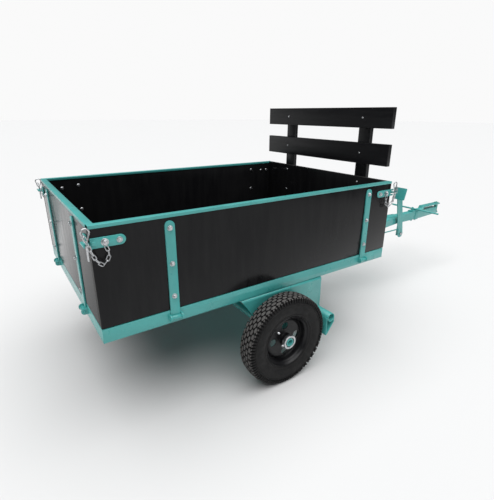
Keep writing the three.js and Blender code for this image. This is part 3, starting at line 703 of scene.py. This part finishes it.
def tyre_profile():
    """The carcass in section: inside, bead, sidewall with its rings, shoulder and the grooves' floor."""
    half = TYRE["half"]
    outer = [
        (103, half - 9), (106, half - 6.5), (110, half - 6), (112, half - 4.2), (114, half - 3.8),
        (116, half - 4.8), (122, half - 3.4), (130, half - 1.4), (140, half - 0.3), (152, half - 0.9),
        (157, half - 1.8), (158.5, half - 0.6), (160, half - 0.7), (161.5, half - 2.6), (167, half - 5.8),
        (173, half - 10),
    ]
    floor = [(crown_radius(t) - TYRE["groove"], t) for t in (24, 12, 0, -12, -24)]
    other = [(radius, -along) for radius, along in reversed(outer)]
    inner = [(103, -half + 16), (148, -half + 9), (174, 0), (148, half - 9), (103, half - 16)]
    return outer + floor + other + inner


def tread_block(bm, centre, start, outline, offset, angle, sink):
    """A block whose outline is in millimetres along and across the tread. It tapers to a dusty top."""
    up = Y.cross(start)
    levels = ((1.0, -sink), (0.95, -0.8), (0.88, 0.0))
    rings = []
    for size, rise in levels:
        ring = []
        for along, across in outline:
            t = offset + across * size
            radius = (crown_radius(t) + rise) * MM
            a = angle + along * size / TYRE["radius"]
            spoke = start * math.cos(a) + up * math.sin(a)
            ring.append(bm.verts.new(centre + spoke * radius + Y * (t * MM)))
        rings.append(ring)
    count = len(outline)
    for low, high in zip(rings, rings[1:]):
        for k in range(count):
            bm.faces.new([low[k], low[(k + 1) % count], high[(k + 1) % count], high[k]])
    bm.faces.new(rings[-1]).material_index = 1
    bm.faces.new(list(reversed(rings[0])))


def shoulder_lug(bm, centre, start, side, angle):
    """A small lug that wraps over the shoulder and ends at the top of the sidewall."""
    up = Y.cross(start)
    half = TYRE["half"]
    wide, root = LUG["half"], LUG["root"]
    path = [(183.0, 33.0, 1.0), (180.4, 35.4, 1.0), (175.5, half - 2.6, 0.95), (168.5, half - 0.9, 0.9)]
    sections = []
    for radius, offset, size in path:
        section = []
        for along, sink in ((-wide, root), (-wide * 0.8, 0.0), (wide * 0.8, 0.0), (wide, root)):
            a = angle + along * size / TYRE["radius"]
            spoke = start * math.cos(a) + up * math.sin(a)
            out = (radius - sink * 0.8) * MM
            section.append(bm.verts.new(centre + spoke * out + Y * (side * (offset - sink * 0.5) * MM)))
        sections.append(section)
    for index, (first, second) in enumerate(zip(sections, sections[1:])):
        for k in range(4):
            face = bm.faces.new([first[k], first[(k + 1) % 4], second[(k + 1) % 4], second[k]])
            if k == 1 and index == 0:
                face.material_index = 1
    bm.faces.new(sections[0])
    bm.faces.new(list(reversed(sections[-1])))


def tyre(label, rubber, tread):
    """The carcass with rows of hexagonal blocks and a ring of lugs on each shoulder."""
    centre = middle(f"tyre_{label}")
    start = X.copy()
    bm = bmesh.new()
    profile = [(radius * MM, along * MM) for radius, along in tyre_profile()]
    lathe(bm, centre, Y, profile, 144, closed=True, start=start)
    step = 2 * math.pi / BLOCKS_ROUND
    pitch = step * TYRE["radius"]
    long, wide = pitch * 0.5 - BLOCK["gap"], BLOCK["half_width"]
    short = long * 0.5
    hexagon = [(-long, 0), (-short, wide), (short, wide), (long, 0), (short, -wide), (-short, -wide)]
    for row, offset in enumerate(BLOCK_ROWS):
        for k in range(BLOCKS_ROUND):
            angle = step * (k + 0.5 * (row % 2))
            tread_block(bm, centre, start, hexagon, offset, angle, TYRE["groove"] + BLOCK["root"])
    step = 2 * math.pi / LUGS_ROUND
    for side in (-1, 1):
        for k in range(LUGS_ROUND):
            shoulder_lug(bm, centre, start, side, step * (k + 0.5))
    piece = finish_piece(f"treaded_tyre_{label}", bm, rubber, f"wheel_{label}", 35)
    piece.data.materials.append(tread)
    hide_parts(f"tyre_{label}")


def wheel_profile():
    """The pressed rim and disc in section: hub tube, dish, well and the two rolled flanges."""
    half = TYRE["half"]
    outer = [
        (17.5, 24), (22.5, 24), (24, 22.5), (24, 12), (26.5, 8), (33, 6), (44, 5.5), (62, 6.5), (74, 7),
        (82, 4), (86, 0), (88, -1), (90.5, 2), (91.5, 8), (92, half - 22), (95, half - 17), (99, half - 14),
        (101, half - 11), (102, half - 7), (104.5, half - 5), (106, half - 6.5), (106.3, half - 8.5),
        (104, half - 9.5), (102.6, half - 12), (101.5, half - 16), (97, half - 20), (93.8, half - 24),
        (93.5, 8), (93.5, -8),
    ]
    inner = [
        (93.8, 24 - half), (97, 20 - half), (101.5, 16 - half), (102.6, 12 - half), (104, 9.5 - half),
        (106.3, 8.5 - half), (106, 6.5 - half), (104.5, 5 - half), (102, 7 - half), (101, 11 - half),
        (99, 14 - half), (95, 17 - half), (92, 22 - half), (91.5, -6), (89.5, -4), (86, -2.8), (81, 1.2),
        (74, 4.4), (62, 3.9), (44, 2.9), (33, 3.4), (26.5, 2), (24, -4), (24, -22.5), (22.5, -24),
        (17.5, -24),
    ]
    return outer + inner


def wheel_disc(label, black, rubber, metal):
    """The pressed wheel with its round holes, and the valve that it carries."""
    centre = middle(f"wheel_disc_{label}")
    out = Y * SIDES[label]
    bm = bmesh.new()
    profile = [(radius * MM, along * MM) for radius, along in wheel_profile()]
    lathe(bm, centre, out, profile, 96, closed=True, start=X.copy())
    piece = finish_piece(f"pressed_wheel_{label}", bm, black, f"wheel_{label}", 40)
    cutter = bmesh.new()
    radius, reach = DISC_HOLES["radius"] * MM, 30 * MM
    plug = [(0, 0), (radius, 0), (radius, 2 * reach), (0, 2 * reach)]
    for k in range(DISC_HOLES["count"]):
        angle = 2 * math.pi * k / DISC_HOLES["count"]
        spoke = X * math.cos(angle) + Z * math.sin(angle)
        lathe(cutter, centre + spoke * DISC_HOLES["circle"] * MM - Y * reach, Y, plug, 32)
    mesh = bpy.data.meshes.new("holes")
    bmesh.ops.recalc_face_normals(cutter, faces=cutter.faces[:])
    cutter.to_mesh(mesh)
    cutter.free()
    tool = bpy.data.objects.new("holes", mesh)
    bpy.context.scene.collection.objects.link(tool)
    modifier = piece.modifiers.new("holes", "BOOLEAN")
    modifier.object = tool
    modifier.operation = "DIFFERENCE"
    bpy.context.view_layer.update()
    evaluated = piece.evaluated_get(bpy.context.evaluated_depsgraph_get())
    cut_mesh = bpy.data.meshes.new_from_object(evaluated)
    piece.modifiers.clear()
    piece.data = cut_mesh
    bpy.data.objects.remove(tool)
    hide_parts(f"wheel_disc_{label}")
    valve(label, centre, out, rubber, metal)


def valve(label, centre, out, rubber, metal):
    """A rubber valve stem with a metal cap, standing out of the rim."""
    angle = math.radians(VALVE_ANGLES[label])
    spoke = X * math.cos(angle) + Z * math.sin(angle)
    lean = (out * 0.9 - spoke * 0.45).normalized()  # outwards, and a little towards the hub
    root = centre + spoke * VALVE_ROOT["circle"] * MM + out * VALVE_ROOT["out"] * MM
    bm = bmesh.new()
    stem = [(0, 0), (7.5, 0), (7.5, 2), (5.2, 5), (4.2, 14), (3.8, 27), (3.2, 28), (0, 28)]
    lathe(bm, root, lean, [(r * MM, a * MM) for r, a in stem], 16)
    finish_piece(f"valve_stem_{label}", bm, rubber, f"wheel_{label}")
    bm = bmesh.new()
    cap = [(0, 27), (4.3, 27), (4.3, 34), (3.6, 35.5), (0, 35.8)]
    lathe(bm, root, lean, [(r * MM, a * MM) for r, a in cap], 16)
    finish_piece(f"valve_cap_{label}", bm, metal, f"wheel_{label}")


def set_screw(label, metal):
    """The screw that clamps the collar to the axle's end."""
    low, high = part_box(f"axle_collar_{label}")
    axle = middle("axle_tube")
    inner, outer = (low.y, high.y) if SIDES[label] > 0 else (high.y, low.y)
    y = inner + (outer - inner) * SET_SCREW["along"]
    out = (X * -0.95 - Z * 0.31).normalized()
    root = Vector((axle.x, y, axle.z)) + out * SET_SCREW["circle"] * MM
    head = [(0, 0), (5.0, 0), (5.0, 8.5), (4.4, 9.3), (2.6, 9.3), (2.6, 6), (0, 6)]
    bm = bmesh.new()
    lathe(bm, root, out, [(r * MM, a * MM) for r, a in head], 18)
    finish_piece(f"set_screw_{label}", bm, metal, "chassis")


def hitch_fasteners(metal):
    """Nuts under the tongue."""
    bm = bmesh.new()
    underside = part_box("hitch_bolt")[0].z + HITCH_BOLT_FOOT
    place = middle("hitch_bolt")
    for ahead, drop, scale in HITCH_NUTS:
        bolt(bm, Vector((place.x + ahead * MM, -8 * MM, underside + drop * MM)), -Z, scale)
    finish_piece("tongue_nuts", bm, metal, "chassis", 30)


# ---------- CAD nodes that stay ----------
EDGE_WIDTHS = {
    "green_paint": 1.2 * MM,
    "film_plywood": 0.8 * MM,
    "rest_board": 1.6 * MM,
    "black_steel": 1.5 * MM,
    "zinc": 0.8 * MM,
    "hitch_pin_steel": 0.8 * MM,
}


def soften(node, width):
    """Rounds a carried-over node's edges with modifiers, so that they catch light."""
    piece = frame["nodes"][node]
    weld = piece.modifiers.new("weld", "WELD")
    weld.merge_threshold = 1e-5
    flat = piece.modifiers.new("flat", "DECIMATE")
    flat.decimate_type = "DISSOLVE"
    flat.angle_limit = math.radians(0.8)
    bevel = piece.modifiers.new("bevel", "BEVEL")
    bevel.width = width
    bevel.segments = 2
    bevel.limit_method = "ANGLE"
    bevel.angle_limit = math.radians(40)
    bevel.harden_normals = True
    piece.data.shade_smooth()


def seal_edges(node, material):
    """Gives a board's four narrow faces the edge material."""
    low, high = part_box(node)
    size = high - low
    thin = min(range(3), key=lambda axis: size[axis])
    mesh = frame["nodes"][node].data
    mesh.materials.append(material)
    for face in mesh.polygons:
        if abs(face.normal[thin]) < 0.5:
            face.material_index = 1


def paint_nodes(materials, edge_material):
    """Gives each CAD node the material of its slot in the record, and rounds its edges."""
    for row in frame["record"]["subparts"]:
        node, slot = row["node"], row["material_slot"]
        piece = frame["nodes"][node]
        piece.data.materials.clear()
        piece.data.materials.append(materials[slot])
        if slot == "film_plywood":
            seal_edges(node, edge_material)
        if slot in EDGE_WIDTHS:
            soften(node, EDGE_WIDTHS[slot])


def main():
    make_camera()
    make_studio()
    metal = zinc()
    rubber = tyre_rubber()
    tread = dusty_tread()
    black = black_steel()
    materials = {
        "green_paint": green_paint(),
        "film_plywood": film_plywood("film_plywood", (1, 1, 0.12)),
        "rest_board": rest_board(),
        "black_steel": black,
        "zinc": metal,
        "hitch_pin_steel": worn_green(),
        "tyre_rubber": rubber,
    }
    paint_nodes(materials, board_edge())
    for label in SIDES:
        side_fasteners(label, metal)
        for end in ENDS:
            chain(label, end, metal)
            clip(label, end, metal)
        tyre(label, rubber, tread)
        wheel_disc(label, black, valve_rubber(), metal)
        set_screw(label, metal)
    tailgate_fasteners(metal)
    front_fasteners(metal)
    hitch_fasteners(metal)


main()
